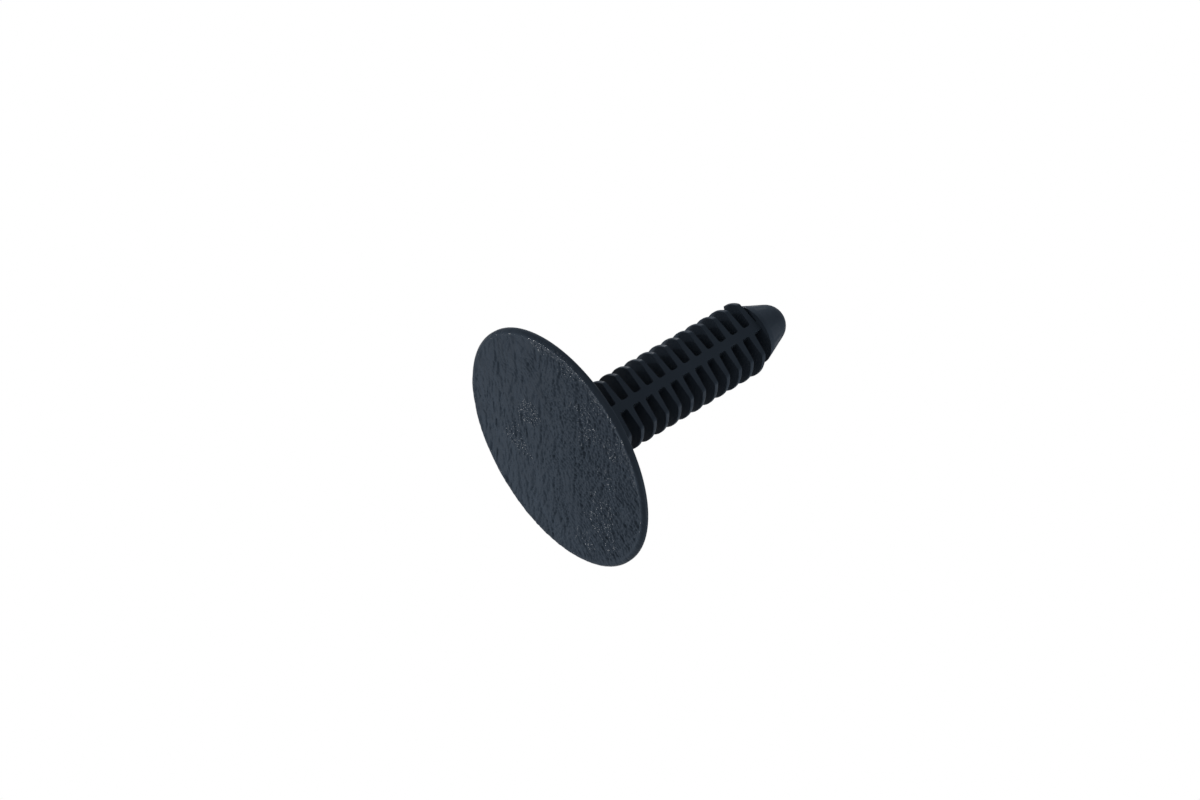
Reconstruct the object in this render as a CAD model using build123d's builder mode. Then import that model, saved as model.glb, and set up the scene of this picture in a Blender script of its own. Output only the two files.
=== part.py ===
from build123d import *
from math import asin, atan2, cos, degrees, floor, hypot, radians, sin, tan
import os

# Push rivet: a one-piece moulded fir-tree trim rivet with a broad round head.
#
# The origin is the centre of the head's seating face, the side that bears on the panel.
# +Z points along the stem to its nose, X runs across the width of the web and Y is the
# way the fins stick out, which is also the way the two mould halves open.

os.makedirs("parts", exist_ok=True)

# ---------------------------------------------------------------- driving dimensions, mm
# Head
head_diameter = 25.0
head_thickness = 0.65
head_front_rounding = 0.35
head_back_chamfer = 0.06

# Stem: a flat web with fins on both of its faces, inside one outline with two flats
stem_length = 29.20
stem_diameter = 7.50
stem_across_flats = 5.00
stem_corner_rounding = 0.45
web_thickness = 0.90
web_foot_chamfer = 0.40
neck_length = 2.10

# Fins: thick at the web and thin at the rim, and swept back towards the head to grip
fin_pitch = 1.606
fin_stagger = 0.95
fin_root_thickness = 0.75
fin_rim_thickness = 0.36
fin_sweep = 0.20  # the rims stand this much nearer the head than the roots
fin_root_rounding_to_head = 0.14
fin_root_rounding_to_nose = 0.26
fin_rim_rounding = 0.14
fin_trim = 0.02  # the fins run this far past the stem's outline, which then trims them
top_fin_below_nose = 0.50
barb_cut_start = 0.60
barb_cut_angle = 45.0

# Nose: a blunt solid cone, round all the way, that stands proud of the stem's two flats
nose_length = 4.33
nose_base_diameter = 6.30
nose_tip_radius = 2.10

# ---------------------------------------------------------------- worked-out values
stem_radius = stem_diameter / 2
half_flats = stem_across_flats / 2
half_web = web_thickness / 2
margin = 1e-4
nose_base_z = stem_length - nose_length
fin_reach = stem_radius - half_web
fin_tip = stem_radius + fin_trim
fin_taper = (fin_root_thickness - fin_rim_thickness) / fin_reach
fin_slope = fin_sweep / fin_reach

top_fin_z = {+1: nose_base_z - top_fin_below_nose}
top_fin_z[-1] = top_fin_z[+1] - fin_stagger


def fin_heights(side):
    """Mid-heights of the fins' roots on one face of the web, from the nose to the neck."""
    lowest = neck_length + fin_root_thickness / 2 + fin_root_rounding_to_head
    count = floor((top_fin_z[side] - lowest) / fin_pitch) + 1
    return [top_fin_z[side] - number * fin_pitch for number in range(count)]


def fin_edge(root_height, reach, face):
    """Height of a fin's face towards the nose (+1) or the head (-1), at a distance from
    the web's middle plane."""
    middle = root_height - fin_slope * (reach - half_web)
    thickness = fin_root_thickness - fin_taper * (reach - half_web)
    return middle + face * thickness / 2


# ---------------------------------------------------------------- the rivet
with BuildPart() as push_rivet:
    # Side view of the web and the fins, extruded across the stem's width
    with BuildSketch(Plane.YZ) as comb:
        with Locations((0, nose_base_z / 2)):
            Rectangle(web_thickness, nose_base_z)
        for side in (+1, -1):
            for height in fin_heights(side):
                Polygon(
                    (0, fin_edge(height, 0, -1)),
                    (side * fin_tip, fin_edge(height, fin_tip, -1)),
                    (side * fin_tip, fin_edge(height, fin_tip, +1)),
                    (0, fin_edge(height, 0, +1)),
                    align=None,
                )
        at_tips = comb.vertices().filter_by(lambda corner: abs(corner.X) > stem_radius)
        fillet(at_tips, radius=fin_rim_rounding)
        for face, rounding in ((-1, fin_root_rounding_to_head), (+1, fin_root_rounding_to_nose)):
            root_heights = [
                fin_edge(height, half_web, face) for side in (+1, -1) for height in fin_heights(side)
            ]
            at_roots = comb.vertices().filter_by(
                lambda corner: abs(abs(corner.X) - half_web) < margin
                and nose_base_z - corner.Y > rounding
                and min(abs(corner.Y - height) for height in root_heights) < margin
            )
            fillet(at_roots, radius=rounding)
    extrude(amount=half_flats, both=True)

    # Stem outline: a circle with two flats
    with BuildSketch(Plane.XY) as outline:
        Circle(stem_radius)
        Rectangle(stem_across_flats, stem_diameter, mode=Mode.INTERSECT)
        fillet(outline.vertices(), radius=stem_corner_rounding)
    extrude(amount=nose_base_z, mode=Mode.INTERSECT)

    # Barb: the top fin on the +Y side has its corner towards +X cut away
    with BuildSketch(Plane.XY.offset(top_fin_z[+1] - fin_pitch / 2)):
        with BuildLine():
            cut_drop = (half_flats + barb_cut_start) * tan(radians(barb_cut_angle))
            Polyline(
                (-barb_cut_start, stem_radius),
                (half_flats, stem_radius),
                (half_flats, stem_radius - cut_drop),
                (-barb_cut_start, stem_radius),
            )
        make_face()
    extrude(amount=fin_pitch, mode=Mode.SUBTRACT)

    # Nose
    tip_centre_z = stem_length - nose_tip_radius
    nose_base_radius = nose_base_diameter / 2
    rise = tip_centre_z - nose_base_z
    half_angle = atan2(nose_base_radius, rise) - asin(
        nose_tip_radius / hypot(nose_base_radius, rise)
    )
    tangent_point = (
        nose_tip_radius * cos(half_angle),
        tip_centre_z + nose_tip_radius * sin(half_angle),
    )
    with BuildSketch(Plane.XZ):
        with BuildLine():
            Line((0, nose_base_z), (nose_base_radius, nose_base_z))
            Line((nose_base_radius, nose_base_z), tangent_point)
            CenterArc(
                (0, tip_centre_z),
                nose_tip_radius,
                start_angle=degrees(half_angle),
                arc_size=90 - degrees(half_angle),
            )
            Line((0, stem_length), (0, nose_base_z))
        make_face()
    revolve(axis=Axis.Z)

    # Head
    with BuildSketch(Plane.XY):
        Circle(head_diameter / 2)
    extrude(amount=-head_thickness)
    fillet(push_rivet.faces().sort_by(Axis.Z)[0].edges(), radius=head_front_rounding)
    level_faces = push_rivet.faces().filter_by(Axis.Z)
    seat = level_faces.filter_by_position(Axis.Z, -margin, margin).sort_by(SortBy.AREA)[-1]
    chamfer(seat.outer_wire().edges(), length=head_back_chamfer)

    # Web foot
    foot = push_rivet.edges().filter_by(GeomType.LINE).filter_by_position(Axis.Z, -margin, margin)
    chamfer(foot, length=web_foot_chamfer)

push_rivet.part.label = "push_rivet"
export_step(push_rivet.part, "parts/push_rivet.step")
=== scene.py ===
from math import atan2, cos, pi, radians, sin

import bmesh
import bpy
import numpy as np
from bpy.props import FloatProperty, FloatVectorProperty, IntProperty, PointerProperty
from mathutils import Matrix, Vector


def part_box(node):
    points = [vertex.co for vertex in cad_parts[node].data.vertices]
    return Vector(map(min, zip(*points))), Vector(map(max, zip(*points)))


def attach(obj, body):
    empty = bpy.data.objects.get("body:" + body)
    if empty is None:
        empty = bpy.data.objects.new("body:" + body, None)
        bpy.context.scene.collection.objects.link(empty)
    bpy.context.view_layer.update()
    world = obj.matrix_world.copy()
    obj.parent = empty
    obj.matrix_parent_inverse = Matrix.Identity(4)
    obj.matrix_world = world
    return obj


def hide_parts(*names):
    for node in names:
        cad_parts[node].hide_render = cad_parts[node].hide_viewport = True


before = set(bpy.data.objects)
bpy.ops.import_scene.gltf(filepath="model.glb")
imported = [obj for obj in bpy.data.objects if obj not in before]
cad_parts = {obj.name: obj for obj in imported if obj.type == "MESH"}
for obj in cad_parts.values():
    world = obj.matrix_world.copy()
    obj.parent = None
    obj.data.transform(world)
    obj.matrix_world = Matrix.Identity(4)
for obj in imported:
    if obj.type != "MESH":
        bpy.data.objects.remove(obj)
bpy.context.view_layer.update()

bl_info = {
    "name": "Push Rivet Dresser",
    "version": (1, 0, 0),
    "blender": (4, 5, 0),
    "location": "3D View > Sidebar > Push Rivet",
    "description": "Dresses a moulded push rivet with leather grain and plastic, and sets its stage",
    "category": "Add Mesh",
}

RIVET = "push_rivet"
MM = 0.001
IMAGE_WIDTH = 1200
IMAGE_HEIGHT = 800

# Points nearer than this are one point, and edges bent more than this stay sharp
SAME_PLACE = 0.0001 * MM
SHARP_ANGLE = radians(32)

# The stem's outer edges are softened by this much, once faces this nearly level are joined
EDGE_SOFTENING = 0.05 * MM
LEVEL_ANGLE = radians(0.3)

# How many features of the plastic's skin there are to a metre
CLOUD_SCALE = 300.0
SPOT_SCALE = 2000.0
GRIT_SCALE = 6000.0
GRIT_DISTANCE = 0.02 * MM

# Vertex attribute with the share of the surface that is polished
POLISHED = "polished"

# Added to the grain's seed, so that its layers differ
LINE_SEED = 10
SWELL_SEED = 15
PEBBLE_SEED = 20
PEBBLED_SEED = 30
BRIGHT_SEED = 40

# Where wrinkles are creased and where they are broken off, as bands of their noise
CREASE_BAND = (0.0, 0.27)
BREAK_BAND = (-0.45, 0.05)

# Swells for each fold, along and across it, and the level that they swing round
SWELL_FOLDS_ALONG = 4
SWELL_FOLDS_ACROSS = 1.6
SWELL_LEVEL = 0.7

# How far towards -X and -Y the pebbles lie, how ragged their border is, and its band
PEBBLED_X = 0.35
PEBBLED_Y = 0.50
PEBBLED_RAGGED = 0.5
PEBBLED_BAND = (-0.30, 0.20)

# Gap between pebbles, in cells, and the pebbles' strength outside the pebbled places
PEBBLE_GAP_BAND = (0.0, 0.5)
PEBBLE_LEAST = 0.25

# Border of a bright place, in its own reach
BRIGHT_BAND = (0.2, 1.2)

# Bands in shares of the head's radius: the turned wrinkles, the calmer rim and the polished rim
SIDE_BAND = (0.40, 0.80)
CALM_BAND = (0.93, 0.97)
CALM_SHARE = 0.7
POLISHED_BAND = (0.950, 0.975)

# The soft shoulder starts this many of its widths inside the head's radius
SHOULDER_START = 1.2

# Share of the edge's rounding over which the grain keeps its full depth
GRAINED_ROUNDING = 0.5

# Places on the face where the skin is pebbled and polished: X, Y, reach and share
BRIGHT_PLACES = (
    (-0.3 * MM, 3.9 * MM, 2.6 * MM, 0.72),
    (5.4 * MM, 3.9 * MM, 2.6 * MM, 0.66),
    (-7.8 * MM, -0.8 * MM, 3.6 * MM, 0.72),
    (-9.3 * MM, -3.8 * MM, 2.2 * MM, 0.78),
    (-4.7 * MM, -6.0 * MM, 2.4 * MM, 0.66),
    (0.7 * MM, -8.1 * MM, 3.2 * MM, 1.00),
    (5.0 * MM, -7.9 * MM, 2.2 * MM, 0.72),
    (-8.6 * MM, 7.2 * MM, 1.8 * MM, 0.66),
    (-10.6 * MM, 3.6 * MM, 1.8 * MM, 0.72),
    (-11.2 * MM, -0.4 * MM, 1.8 * MM, 0.78),
)

# Lamps: name, direction, distance, size and level
LAMPS = (
    ("lamp_face", (0.70, 0.19, -0.66), 0.110, 0.020, 0.87),
    ("lamp_side", (-0.05, 0.68, -0.72), 0.4, 0.02, 0.14),
    ("lamp_above", (0.15, 0.80, 0.55), 0.5, 0.12, 0.85),
    ("lamp_below", (0.0, -0.88, 0.47), 0.6, 0.30, 0.50),
)
WHITE = (1.0, 1.0, 1.0, 1.0)
FLOOR_GAP = 0.05 * MM

# Nearest and farthest places the camera sees, in camera distances
CLIP_NEAR = 0.1
CLIP_FAR = 20

# The head, read from the solid: its radius and its face's level
LOW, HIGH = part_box(RIVET)
HEAD_RADIUS = HIGH.x
FACE_LEVEL = LOW.z


# ---------------------------------------------------------------- settings
class PushRivetGrain(bpy.types.PropertyGroup):
    """Leather grain pressed into the head's face"""

    direction: FloatProperty(
        name="Direction", description="Way the wrinkles run over most of the face, from the X axis",
        default=radians(-29.0), subtype="ANGLE",
    )
    side_direction: FloatProperty(
        name="Side Direction", description="Way the wrinkles run near the -Y edge, from the X axis",
        default=radians(-82.0), subtype="ANGLE",
    )
    fold_spacing: FloatProperty(
        name="Fold Spacing", description="Distance from one large wrinkle to the next",
        default=1.00 * MM, subtype="DISTANCE",
    )
    line_spacing: FloatProperty(
        name="Line Spacing", description="Distance from one fine wrinkle to the next",
        default=0.48 * MM, subtype="DISTANCE",
    )
    stretch: FloatProperty(
        name="Stretch", description="How many times longer than wide the wrinkles are",
        default=4.2,
    )
    fold_depth: FloatProperty(
        name="Fold Depth", description="Depth of the large wrinkles", default=0.095 * MM, subtype="DISTANCE",
    )
    swell_depth: FloatProperty(
        name="Swell Depth", description="Depth of the broad swells under the wrinkles",
        default=0.090 * MM, subtype="DISTANCE",
    )
    line_depth: FloatProperty(
        name="Line Depth", description="Depth of the fine wrinkles", default=0.060 * MM, subtype="DISTANCE",
    )
    pebble_spacing: FloatProperty(
        name="Pebble Spacing", description="Size of the small pebbles between the wrinkles",
        default=0.48 * MM, subtype="DISTANCE",
    )
    pebble_depth: FloatProperty(
        name="Pebble Depth", description="Depth of the gaps between the pebbles",
        default=0.075 * MM, subtype="DISTANCE",
    )
    patch_spacing: FloatProperty(
        name="Patch Spacing", description="Distance from one pebbled or polished patch to the next",
        default=3.0 * MM, subtype="DISTANCE",
    )
    shoulder_width: FloatProperty(
        name="Shoulder Width", description="Width of the soft shoulder inside the face's rounded edge",
        default=0.45 * MM, subtype="DISTANCE",
    )
    shoulder_drop: FloatProperty(
        name="Shoulder Drop", description="How far the face falls away over the soft shoulder",
        default=0.035 * MM, subtype="DISTANCE",
    )
    face_cells: IntProperty(
        name="Face Cells", description="Mesh cells across the head's face", default=280,
    )
    edge_rings: IntProperty(
        name="Edge Rings", description="Rows of mesh round the face's rounded edge", default=6,
    )
    seed: IntProperty(name="Seed", description="Start of the grain's pattern", default=7)


class PushRivetPlastic(bpy.types.PropertyGroup):
    """Moulded plastic of the whole rivet"""

    colour: FloatVectorProperty(
        name="Colour", description="Colour of the plastic", subtype="COLOR",
        default=(0.0270, 0.0365, 0.0500), min=0.0, max=1.0,
    )
    stem_roughness: FloatProperty(
        name="Stem Roughness", description="Roughness of the smooth stem and seat",
        default=0.34, subtype="FACTOR",
    )
    stem_shine: FloatProperty(
        name="Stem Shine", description="Strength of the reflection on the stem and seat",
        default=0.012, subtype="FACTOR",
    )
    head_roughness: FloatProperty(
        name="Head Roughness", description="Roughness of the grained face", default=0.50, subtype="FACTOR",
    )
    head_shine: FloatProperty(
        name="Head Shine", description="Strength of the reflection on the grained face",
        default=0.007, subtype="FACTOR",
    )
    polish: FloatProperty(
        name="Polish", description="How much smoother the grained face's polished spots are",
        default=0.75, subtype="FACTOR",
    )
    cloud: FloatProperty(
        name="Cloud", description="How much the colour varies from place to place",
        default=0.25, subtype="FACTOR",
    )
    grit: FloatProperty(
        name="Grit", description="Height of the fine grit of the moulded skin",
        default=0.30, subtype="FACTOR",
    )


class PushRivetStage(bpy.types.PropertyGroup):
    """Floor, lamps and camera"""

    azimuth: FloatProperty(
        name="Azimuth", description="Camera's turn round the Z axis",
        default=radians(-80.7), subtype="ANGLE",
    )
    elevation: FloatProperty(
        name="Elevation", description="Camera's height above the horizon",
        default=radians(-29.5), subtype="ANGLE",
    )
    roll: FloatProperty(
        name="Roll", description="Angle of the stem above the picture's level line",
        default=radians(30.37), subtype="ANGLE",
    )
    distance: FloatProperty(
        name="Distance", description="Distance from the camera's plane to the face's centre",
        default=200.2 * MM, subtype="DISTANCE",
    )
    scale: FloatProperty(
        name="Scale", description="Picture elements for each millimetre at the face's centre",
        default=10.668,
    )
    face_at_x: FloatProperty(
        name="Face At X", description="Where the face's centre stands across the picture", default=553.9,
    )
    face_at_y: FloatProperty(
        name="Face At Y", description="Where the face's centre stands down the picture", default=450.82,
    )
    floor_size: FloatProperty(
        name="Floor Size", description="Width of the floor", default=1.6, subtype="DISTANCE",
    )
    floor_colour: FloatVectorProperty(
        name="Floor Colour", description="Colour of the floor", subtype="COLOR",
        default=(0.80, 0.80, 0.79), min=0.0, max=1.0,
    )
    ambient: FloatProperty(
        name="Ambient", description="Light of the room between the lamps", default=0.43,
    )


# ---------------------------------------------------------------- noise for the grain
def hashed(ix, iy, seed):
    """Pseudo-random numbers from 0 to 1 for whole-number grid places, by integer mixing"""
    h = (ix.astype(np.int64) * 374761393 + iy.astype(np.int64) * 668265263 + seed * 974634777) & 0xFFFFFFFF
    h = ((h ^ (h >> 13)) * 1274126177) & 0xFFFFFFFF
    h = h ^ (h >> 16)
    return (h & 0xFFFFFF) / float(0xFFFFFF)


def soft_noise(x, y, seed):
    """Soft noise round 0, from about -0.7 to 0.7, with features about one unit wide"""
    ix = np.floor(x)
    iy = np.floor(y)
    fx = x - ix
    fy = y - iy
    sx = fx * fx * fx * (fx * (6 * fx - 15) + 10)
    sy = fy * fy * fy * (fy * (6 * fy - 15) + 10)

    def corner(cx, cy):
        turn = 2 * pi * hashed(ix + cx, iy + cy, seed)
        return np.cos(turn) * (fx - cx) + np.sin(turn) * (fy - cy)

    low = corner(0, 0) * (1 - sx) + corner(1, 0) * sx
    high = corner(0, 1) * (1 - sx) + corner(1, 1) * sx
    return low * (1 - sy) + high * sy


def cell_edges(x, y, seed):
    """Distance from the edges of irregular cells about one unit wide: 0 on an edge"""
    ix = np.floor(x)
    iy = np.floor(y)
    nearest = np.full(x.shape, 9.0)
    second = np.full(x.shape, 9.0)
    for dx in (-1, 0, 1):
        for dy in (-1, 0, 1):
            px = ix + dx + 0.1 + 0.8 * hashed(ix + dx, iy + dy, seed)
            py = iy + dy + 0.1 + 0.8 * hashed(ix + dx, iy + dy, seed + 1)
            d = np.hypot(px - x, py - y)
            second = np.minimum(second, np.maximum(nearest, d))
            nearest = np.minimum(nearest, d)
    return second - nearest


def ramp(value, low, high):
    """0 up to low, 1 from high, and a smooth step between them"""
    t = np.clip((value - low) / (high - low), 0, 1)
    return t * t * (3 - 2 * t)


def wrinkles(along, across, spacing, stretch, seed):
    """Long wrinkles that run along: 0 on their flanks and 1 in their narrow creases"""
    # the plain numbers are the pitches of noises that make the wrinkles wander and break off
    u = along / (stretch * spacing)
    v = across / spacing
    wave = soft_noise(u * 1.3, v * 0.5, seed + 1) + 0.5 * soft_noise(u * 3.1, v * 1.1, seed + 2)
    level = np.abs(soft_noise(u, v + 0.6 * wave, seed))
    broken = ramp(soft_noise(u * 1.7, v * 0.8, seed + 3), *BREAK_BAND)
    return (1 - ramp(level, *CREASE_BAND)) * broken


def leather(x, y, turn, grain):
    """Depth of the wrinkles where they run at one angle from the X axis"""
    along = x * cos(turn) + y * sin(turn)
    across = -x * sin(turn) + y * cos(turn)
    folds = wrinkles(along, across, grain.fold_spacing, grain.stretch, grain.seed)
    lines = wrinkles(along, across, grain.line_spacing, grain.stretch, grain.seed + LINE_SEED)
    swell = soft_noise(
        along / (SWELL_FOLDS_ALONG * grain.fold_spacing),
        across / (SWELL_FOLDS_ACROSS * grain.fold_spacing),
        grain.seed + SWELL_SEED,
    )
    return grain.fold_depth * folds + grain.line_depth * lines + grain.swell_depth * (SWELL_LEVEL + swell)


def pebbled(x, y, grain):
    """Share of pebbles in the grain: 1 towards the -X and -Y edge and 0 away from it"""
    patch = soft_noise(x / grain.patch_spacing, y / grain.patch_spacing, grain.seed + PEBBLED_SEED)
    towards = -(PEBBLED_X * x + PEBBLED_Y * y) / HEAD_RADIUS
    return ramp(towards + PEBBLED_RAGGED * patch, *PEBBLED_BAND)


def bright(x, y, grain):
    """Share of pebbles and polish round the bright places, with ragged borders"""
    patch = soft_noise(x / grain.patch_spacing, y / grain.patch_spacing, grain.seed + BRIGHT_SEED)
    share = np.zeros(x.shape)
    for place_x, place_y, reach, most in BRIGHT_PLACES:
        away = np.hypot(x - place_x, y - place_y) / reach
        share = np.maximum(share, most * (1 - ramp(away + patch, *BRIGHT_BAND)))
    return share


def grain_depth(x, y, grain):
    """Depth of the leather grain below the face's level at places on the face"""
    side = ramp(-y / HEAD_RADIUS, *SIDE_BAND)
    depth = leather(x, y, grain.direction, grain) * (1 - side)
    depth += leather(x, y, grain.side_direction, grain) * side
    cells = cell_edges(x / grain.pebble_spacing, y / grain.pebble_spacing, grain.seed + PEBBLE_SEED)
    share = np.maximum(pebbled(x, y, grain), bright(x, y, grain))
    pebbles = (1 - ramp(cells, *PEBBLE_GAP_BAND)) * (PEBBLE_LEAST + (1 - PEBBLE_LEAST) * share)
    away = np.hypot(x, y)
    calm = 1 - CALM_SHARE * ramp(away / HEAD_RADIUS, *CALM_BAND)
    shoulder = np.clip((away - HEAD_RADIUS) / grain.shoulder_width + SHOULDER_START, 0, 1)
    return (depth + grain.pebble_depth * pebbles) * calm + grain.shoulder_drop * shoulder * shoulder


def polished(x, y, grain):
    """Share of the surface that is polished: the bright places and the rim"""
    rim = ramp(np.hypot(x, y) / HEAD_RADIUS, *POLISHED_BAND)
    return np.maximum(bright(x, y, grain), rim)


# ---------------------------------------------------------------- the rivet
def soften_edges(bm, width):
    """Rounds the sharp outer edges of the stem a little, as a mould leaves them"""
    bmesh.ops.dissolve_limit(bm, angle_limit=LEVEL_ANGLE, verts=bm.verts, edges=bm.edges)
    sharp = [
        e for e in bm.edges
        if len(e.link_faces) == 2 and e.is_convex and e.calc_face_angle(0.0) > SHARP_ANGLE
        and min(v.co.z for v in e.verts) > SAME_PLACE
    ]
    made = bmesh.ops.bevel(
        bm, geom=sharp, offset=width, offset_type="OFFSET", affect="EDGES",
        segments=2, profile=0.5, clamp_overlap=False, loop_slide=True,
    )
    share = bm.verts.layers.float[POLISHED]
    strips = set(made["faces"])
    for vertex in made["verts"]:
        if all(face in strips for face in vertex.link_faces):
            vertex[share] = 1.0


def stem_and_seat(mesh):
    """The solid without its face and rim, the loop of vertices left open, and the face's rounding"""
    bm = bmesh.new()
    bm.from_mesh(mesh)
    bm.verts.layers.float.new(POLISHED)
    bmesh.ops.remove_doubles(bm, verts=bm.verts, dist=SAME_PLACE)
    rim_levels = [v.co.z for v in bm.verts if HEAD_RADIUS - v.co.xy.length < SAME_PLACE]
    rim_back = max(rim_levels) + SAME_PLACE
    rounding = min(rim_levels) - FACE_LEVEL
    front = [f for f in bm.faces if max(v.co.z for v in f.verts) < rim_back]
    bmesh.ops.delete(bm, geom=front, context="FACES")
    soften_edges(bm, EDGE_SOFTENING)
    loop = {v for e in bm.edges if e.is_boundary for v in e.verts}
    return bm, sorted(loop, key=lambda v: atan2(v.co.y, v.co.x)), rounding


def disc_points(cells):
    """Points of a square grid of cells mapped evenly over a disc of radius 1"""
    step = np.linspace(-1, 1, cells + 1)
    a, b = np.meshgrid(step, step, indexing="ij")
    wide = np.abs(a) > np.abs(b)
    safe_a = np.where(wide, a, 1.0)
    safe_b = np.where(wide, 1.0, np.where(b == 0, 1.0, b))
    radius = np.where(wide, a, b)
    angle = np.where(wide, (pi / 4) * b / safe_a, pi / 2 - (pi / 4) * a / safe_b)
    return radius * np.cos(angle), radius * np.sin(angle)


def grid_border(cells):
    """Grid places round the border of the disc grid, in order of angle"""
    n = cells
    border = [(n, j) for j in range(n)]
    border += [(i, n) for i in range(n, 0, -1)]
    border += [(0, j) for j in range(n, 0, -1)]
    border += [(i, 0) for i in range(n)]
    return border


def zip_loops(bm, fine, coarse):
    """Faces between two loops of vertices that run round the Z axis, both in order of angle"""

    def angle(vertex, turns):
        return atan2(vertex.co.y, vertex.co.x) + 2 * pi * turns

    i = j = 0
    nf, nc = len(fine), len(coarse)
    while i < nf or j < nc:
        next_fine = angle(fine[(i + 1) % nf], (i + 1) // nf)
        next_coarse = angle(coarse[(j + 1) % nc], (j + 1) // nc)
        if j >= nc or (i < nf and next_fine <= next_coarse):
            bm.faces.new((fine[i % nf], fine[(i + 1) % nf], coarse[j % nc]))
            i += 1
        else:
            bm.faces.new((fine[i % nf], coarse[(j + 1) % nc], coarse[j % nc]))
            j += 1


def grained_head(bm, seat_loop, rounding, grain):
    """The face, its rounded edge and the rim, with the leather grain pressed in"""
    share = bm.verts.layers.float[POLISHED]
    cells = grain.face_cells
    flat_radius = HEAD_RADIUS - rounding
    px, py = disc_points(cells)
    px *= flat_radius
    py *= flat_radius
    depth = grain_depth(px, py, grain)
    grid = [
        [bm.verts.new((px[i, j], py[i, j], FACE_LEVEL + depth[i, j])) for j in range(cells + 1)]
        for i in range(cells + 1)
    ]
    gloss = polished(px, py, grain)
    for i in range(cells + 1):
        for j in range(cells + 1):
            grid[i][j][share] = gloss[i, j]
    for i in range(cells):
        for j in range(cells):
            bm.faces.new((grid[i][j], grid[i][j + 1], grid[i + 1][j + 1], grid[i + 1][j]))

    border = grid_border(cells)
    ring = [grid[i][j] for i, j in border]
    angles = np.array([atan2(py[i, j], px[i, j]) for i, j in border])
    for row in range(1, grain.edge_rings + 1):
        tilt = (pi / 2) * row / grain.edge_rings
        radius = flat_radius + rounding * sin(tilt)
        reach = flat_radius + rounding * tilt
        fade = 1 - ramp(np.array(float(row)), grain.edge_rings * GRAINED_ROUNDING, grain.edge_rings)
        pressed = grain_depth(reach * np.cos(angles), reach * np.sin(angles), grain) * fade
        outer = radius - pressed * sin(tilt)
        level = FACE_LEVEL + rounding * (1 - cos(tilt)) + pressed * cos(tilt)
        new_ring = [
            bm.verts.new((outer[k] * cos(angles[k]), outer[k] * sin(angles[k]), level[k]))
            for k in range(len(border))
        ]
        for vertex in new_ring:
            vertex[share] = 1.0
        for k in range(len(border)):
            m = (k + 1) % len(border)
            bm.faces.new((ring[k], ring[m], new_ring[m], new_ring[k]))
        ring = new_ring
    ring.sort(key=lambda v: atan2(v.co.y, v.co.x))
    zip_loops(bm, ring, seat_loop)


def build_rivet(scene):
    """The dressed rivet: the solid's stem and seat with a grained face"""
    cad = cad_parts[RIVET]
    bm, seat_loop, rounding = stem_and_seat(cad.data)
    stem_faces = len(bm.faces)
    grained_head(bm, seat_loop, rounding, scene.push_rivet_grain)
    bm.faces.ensure_lookup_table()
    # Known fault: new faces also take the places of removed ones in this order, so some faces of
    # the stem, the nose and the head get each other's plastic, and not the same ones each run
    for face in bm.faces[stem_faces:]:
        face.material_index = 1
    bmesh.ops.recalc_face_normals(bm, faces=bm.faces)
    for face in bm.faces:
        face.smooth = True
    for edge in bm.edges:
        edge.smooth = len(edge.link_faces) != 2 or edge.calc_face_angle(0.0) < SHARP_ANGLE
    mesh = bpy.data.meshes.new("rivet_moulding")
    bm.to_mesh(mesh)
    bm.free()
    piece = bpy.data.objects.new("rivet_moulding", mesh)
    scene.collection.objects.link(piece)
    normals = piece.modifiers.new("even_normals", "WEIGHTED_NORMAL")
    normals.keep_sharp = True
    normals.weight = 100
    return piece


# ---------------------------------------------------------------- finish
def add_node(tree, kind, x, y, **values):
    """A shader node at a place, with its attributes set"""
    node = tree.nodes.new(kind)
    node.location = (x, y)
    for key, value in values.items():
        setattr(node, key, value)
    return node


def noise_level(tree, x, y, scale):
    """Soft noise over the surface with the given number of features to a metre"""
    place = add_node(tree, "ShaderNodeTexCoord", x - 200, y)
    noise = add_node(tree, "ShaderNodeTexNoise", x, y)
    noise.inputs["Scale"].default_value = scale
    noise.inputs["Detail"].default_value = 2.0
    tree.links.new(place.outputs["Object"], noise.inputs["Vector"])
    return noise.outputs["Fac"]


def math_node(tree, x, y, operation, *values):
    """A math node whose inputs are sockets or plain numbers"""
    node = add_node(tree, "ShaderNodeMath", x, y, operation=operation)
    for socket, value in zip(node.inputs, values):
        if isinstance(value, bpy.types.NodeSocket):
            tree.links.new(value, socket)
        else:
            socket.default_value = value
    return node.outputs[0]


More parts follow.
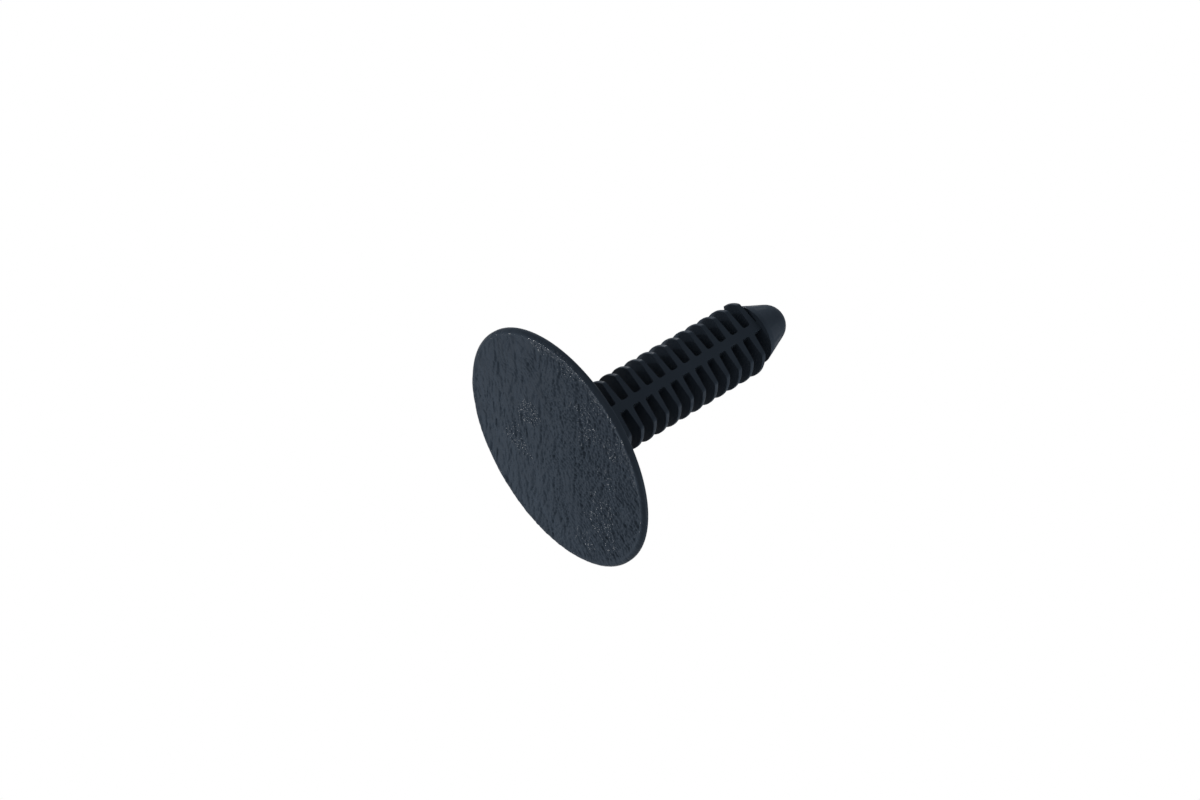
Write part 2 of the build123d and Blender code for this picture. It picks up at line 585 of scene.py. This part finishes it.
def skin_group():
    """Skin of moulded plastic: cloudy colour, small polished spots, and fine grit"""
    group = bpy.data.node_groups.new("moulded_skin", "ShaderNodeTree")
    sockets = (
        ("Colour", "INPUT", "NodeSocketColor"),
        ("Roughness", "INPUT", "NodeSocketFloat"),
        ("Cloud", "INPUT", "NodeSocketFloat"),
        ("Polish", "INPUT", "NodeSocketFloat"),
        ("Grit", "INPUT", "NodeSocketFloat"),
        ("Colour", "OUTPUT", "NodeSocketColor"),
        ("Roughness", "OUTPUT", "NodeSocketFloat"),
        ("Height", "OUTPUT", "NodeSocketFloat"),
    )
    for name, way, kind in sockets:
        group.interface.new_socket(name=name, in_out=way, socket_type=kind)
    enter = add_node(group, "NodeGroupInput", -900, 600)
    leave = add_node(group, "NodeGroupOutput", 900, 0)

    cloud = math_node(group, -400, 400, "SUBTRACT", noise_level(group, -600, 400, CLOUD_SCALE), 0.5)
    brighten = math_node(group, -200, 400, "MULTIPLY_ADD", cloud, enter.outputs["Cloud"], 1.0)
    tint = add_node(group, "ShaderNodeVectorMath", 0, 400, operation="SCALE")
    group.links.new(enter.outputs["Colour"], tint.inputs[0])
    group.links.new(brighten, tint.inputs["Scale"])
    group.links.new(tint.outputs["Vector"], leave.inputs["Colour"])

    share = add_node(group, "ShaderNodeAttribute", -600, 0, attribute_name=POLISHED)
    spots = math_node(group, -400, 0, "ADD", noise_level(group, -600, -200, SPOT_SCALE), share.outputs["Fac"])
    mask = add_node(group, "ShaderNodeMapRange", -200, 0)
    mask.inputs["From Min"].default_value = 1.0
    mask.inputs["From Max"].default_value = 1.1
    group.links.new(spots, mask.inputs["Value"])
    amount = math_node(group, 0, 0, "MULTIPLY", mask.outputs["Result"], enter.outputs["Polish"])
    rest = math_node(group, 200, 0, "SUBTRACT", 1.0, amount)
    gloss = math_node(group, 400, 0, "MULTIPLY", enter.outputs["Roughness"], rest)
    group.links.new(gloss, leave.inputs["Roughness"])

    grit = noise_level(group, -600, -500, GRIT_SCALE)
    height = math_node(group, -400, -500, "MULTIPLY", grit, enter.outputs["Grit"])
    group.links.new(height, leave.inputs["Height"])
    return group


def plastic_material(name, group, plastic, roughness, shine):
    """Moulded plastic of one roughness and shine, with the skin group"""
    material = bpy.data.materials.new(name)
    material.use_nodes = True
    tree = material.node_tree
    shader = tree.nodes["Principled BSDF"]
    shader.inputs["Specular IOR Level"].default_value = shine
    skin = add_node(tree, "ShaderNodeGroup", -400, 200, node_tree=group)
    skin.inputs["Colour"].default_value = (*plastic.colour, 1.0)
    skin.inputs["Roughness"].default_value = roughness
    skin.inputs["Cloud"].default_value = plastic.cloud
    skin.inputs["Polish"].default_value = plastic.polish
    skin.inputs["Grit"].default_value = plastic.grit
    bump = add_node(tree, "ShaderNodeBump", -200, -200)
    bump.inputs["Distance"].default_value = GRIT_DISTANCE
    tree.links.new(skin.outputs["Colour"], shader.inputs["Base Color"])
    tree.links.new(skin.outputs["Roughness"], shader.inputs["Roughness"])
    tree.links.new(skin.outputs["Height"], bump.inputs["Height"])
    tree.links.new(bump.outputs["Normal"], shader.inputs["Normal"])
    return material


# ---------------------------------------------------------------- stage
def seen_mask(tree):
    """1 for the rays that should see the pale background"""
    path = add_node(tree, "ShaderNodeLightPath", -900, 300)
    camera, glossy = path.outputs["Is Camera Ray"], path.outputs["Is Glossy Ray"]
    seen = math_node(tree, -700, 300, "MAXIMUM", camera, glossy)
    return math_node(tree, -550, 300, "MAXIMUM", seen, path.outputs["Is Transmission Ray"])


def room_light(scene, stage):
    """White background, with a plain soft light from all round"""
    world = bpy.data.worlds.new("studio")
    world.use_nodes = True
    scene.world = world
    tree = world.node_tree
    tree.nodes.clear()
    out = add_node(tree, "ShaderNodeOutputWorld", 300, 0)
    mix = add_node(tree, "ShaderNodeMixShader", 100, 0)
    ambient = add_node(tree, "ShaderNodeBackground", -200, 0)
    ambient.inputs["Strength"].default_value = stage.ambient
    ambient.inputs["Color"].default_value = WHITE
    white = add_node(tree, "ShaderNodeBackground", -200, -200)
    white.inputs["Color"].default_value = WHITE
    tree.links.new(seen_mask(tree), mix.inputs["Fac"])
    tree.links.new(ambient.outputs[0], mix.inputs[1])
    tree.links.new(white.outputs[0], mix.inputs[2])
    tree.links.new(mix.outputs[0], out.inputs["Surface"])


def build_floor(scene, stage):
    """Pale floor under the head: seen only from above, and it takes shadow but gives none"""
    half = stage.floor_size / 2
    level = FACE_LEVEL - FLOOR_GAP
    mesh = bpy.data.meshes.new("floor")
    mesh.from_pydata(
        [(-half, -half, level), (half, -half, level), (half, half, level), (-half, half, level)],
        [], [(0, 1, 2, 3)],
    )
    floor = bpy.data.objects.new("floor", mesh)
    scene.collection.objects.link(floor)
    material = bpy.data.materials.new("pale_floor")
    material.use_nodes = True
    tree = material.node_tree
    tree.nodes.clear()
    out = add_node(tree, "ShaderNodeOutputMaterial", 400, 0)
    mix = add_node(tree, "ShaderNodeMixShader", 200, 0)
    matte = add_node(tree, "ShaderNodeBsdfDiffuse", -100, 0)
    matte.inputs["Color"].default_value = (*stage.floor_colour, 1.0)
    clear = add_node(tree, "ShaderNodeBsdfTransparent", -100, -200)
    sides = add_node(tree, "ShaderNodeNewGeometry", -100, 300)
    tree.links.new(sides.outputs["Backfacing"], mix.inputs["Fac"])
    tree.links.new(matte.outputs[0], mix.inputs[1])
    tree.links.new(clear.outputs[0], mix.inputs[2])
    tree.links.new(mix.outputs[0], out.inputs["Surface"])
    mesh.materials.append(material)
    floor.visible_shadow = False
    floor.visible_diffuse = False
    floor.visible_glossy = False
    floor.visible_transmission = False
    return floor


def view_axes(stage):
    """The picture's right, up and towards-the-camera directions"""
    a, e = stage.azimuth, stage.elevation
    back = Vector((sin(a) * cos(e), -cos(a) * cos(e), sin(e)))
    level = Vector((cos(a), sin(a), 0.0))
    lift = back.cross(level)
    # the roll turns the stem up from the picture's level line
    right = lift * cos(stage.roll) + level * sin(stage.roll)
    up = lift * sin(stage.roll) - level * cos(stage.roll)
    return right, up, back


def place_camera(scene, stage):
    """Camera at the viewing angle, with the face's centre at its place in the picture"""
    right, up, back = view_axes(stage)
    face = Vector((0.0, 0.0, FACE_LEVEL))
    to_middle_x = (IMAGE_WIDTH / 2 - stage.face_at_x) / stage.scale * MM
    to_middle_y = (stage.face_at_y - IMAGE_HEIGHT / 2) / stage.scale * MM
    camera = bpy.data.cameras.new("camera")
    holder = bpy.data.objects.new("camera", camera)
    scene.collection.objects.link(holder)
    holder.matrix_world = Matrix(
        (
            (right.x, up.x, back.x, 0.0),
            (right.y, up.y, back.y, 0.0),
            (right.z, up.z, back.z, 0.0),
            (0.0, 0.0, 0.0, 1.0),
        )
    )
    holder.location = face + back * stage.distance + right * to_middle_x + up * to_middle_y
    camera.lens = camera.sensor_width * stage.scale * (stage.distance / MM) / IMAGE_WIDTH
    camera.clip_start = CLIP_NEAR * stage.distance
    camera.clip_end = CLIP_FAR * stage.distance
    scene.camera = holder


def place_lamp(scene, name, direction, distance, size, level):
    """Soft square lamp that lights a surface facing it to the given share of white"""
    lamp = bpy.data.lights.new(name, "AREA")
    lamp.shape = "SQUARE"
    lamp.size = size
    lamp.energy = level * pi * pi * distance * distance
    holder = bpy.data.objects.new(name, lamp)
    scene.collection.objects.link(holder)
    holder.location = direction.normalized() * distance
    holder.rotation_mode = "QUATERNION"
    holder.rotation_quaternion = direction.to_track_quat("Z", "Y")


# ---------------------------------------------------------------- operators
class PUSHRIVET_OT_moulding(bpy.types.Operator):
    """Builds the moulded rivet with its grained face and its plastic"""

    bl_idname = "push_rivet.moulding"
    bl_label = "Rivet Moulding"

    def execute(self, context):
        scene = context.scene
        piece = build_rivet(scene)
        plastic = scene.push_rivet_plastic
        group = skin_group()
        materials = piece.data.materials
        materials.append(
            plastic_material("stem_plastic", group, plastic, plastic.stem_roughness, plastic.stem_shine)
        )
        materials.append(
            plastic_material("head_plastic", group, plastic, plastic.head_roughness, plastic.head_shine)
        )
        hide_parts(RIVET)
        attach(piece, "root")
        return {"FINISHED"}


class PUSHRIVET_OT_stage(bpy.types.Operator):
    """Sets the floor, the lamps and the camera"""

    bl_idname = "push_rivet.stage"
    bl_label = "Stage"

    def execute(self, context):
        scene = context.scene
        stage = scene.push_rivet_stage
        scene.view_settings.view_transform = "Standard"
        place_camera(scene, stage)
        room_light(scene, stage)
        build_floor(scene, stage)
        for name, direction, distance, size, level in LAMPS:
            place_lamp(scene, name, Vector(direction), distance, size, level)
        return {"FINISHED"}


class PUSHRIVET_PT_panel(bpy.types.Panel):
    """Lists the rivet's settings and its two builders"""

    bl_idname = "PUSHRIVET_PT_panel"
    bl_label = "Push Rivet"
    bl_space_type = "VIEW_3D"
    bl_region_type = "UI"
    bl_category = "Push Rivet"

    def draw(self, context):
        for settings in (
            context.scene.push_rivet_grain,
            context.scene.push_rivet_plastic,
            context.scene.push_rivet_stage,
        ):
            box = self.layout.box()
            for key in settings.__annotations__:
                box.prop(settings, key)
        self.layout.operator(PUSHRIVET_OT_moulding.bl_idname)
        self.layout.operator(PUSHRIVET_OT_stage.bl_idname)


CLASSES = (
    PushRivetGrain,
    PushRivetPlastic,
    PushRivetStage,
    PUSHRIVET_OT_moulding,
    PUSHRIVET_OT_stage,
    PUSHRIVET_PT_panel,
)


def register():
    for cls in CLASSES:
        bpy.utils.register_class(cls)
    bpy.types.Scene.push_rivet_grain = PointerProperty(type=PushRivetGrain)
    bpy.types.Scene.push_rivet_plastic = PointerProperty(type=PushRivetPlastic)
    bpy.types.Scene.push_rivet_stage = PointerProperty(type=PushRivetStage)


def unregister():
    del bpy.types.Scene.push_rivet_stage
    del bpy.types.Scene.push_rivet_plastic
    del bpy.types.Scene.push_rivet_grain
    for cls in reversed(CLASSES):
        bpy.utils.unregister_class(cls)


def main():
    register()
    bpy.ops.push_rivet.moulding()
    bpy.ops.push_rivet.stage()
    bpy.context.view_layer.update()


if __name__ == "__main__":
    main()
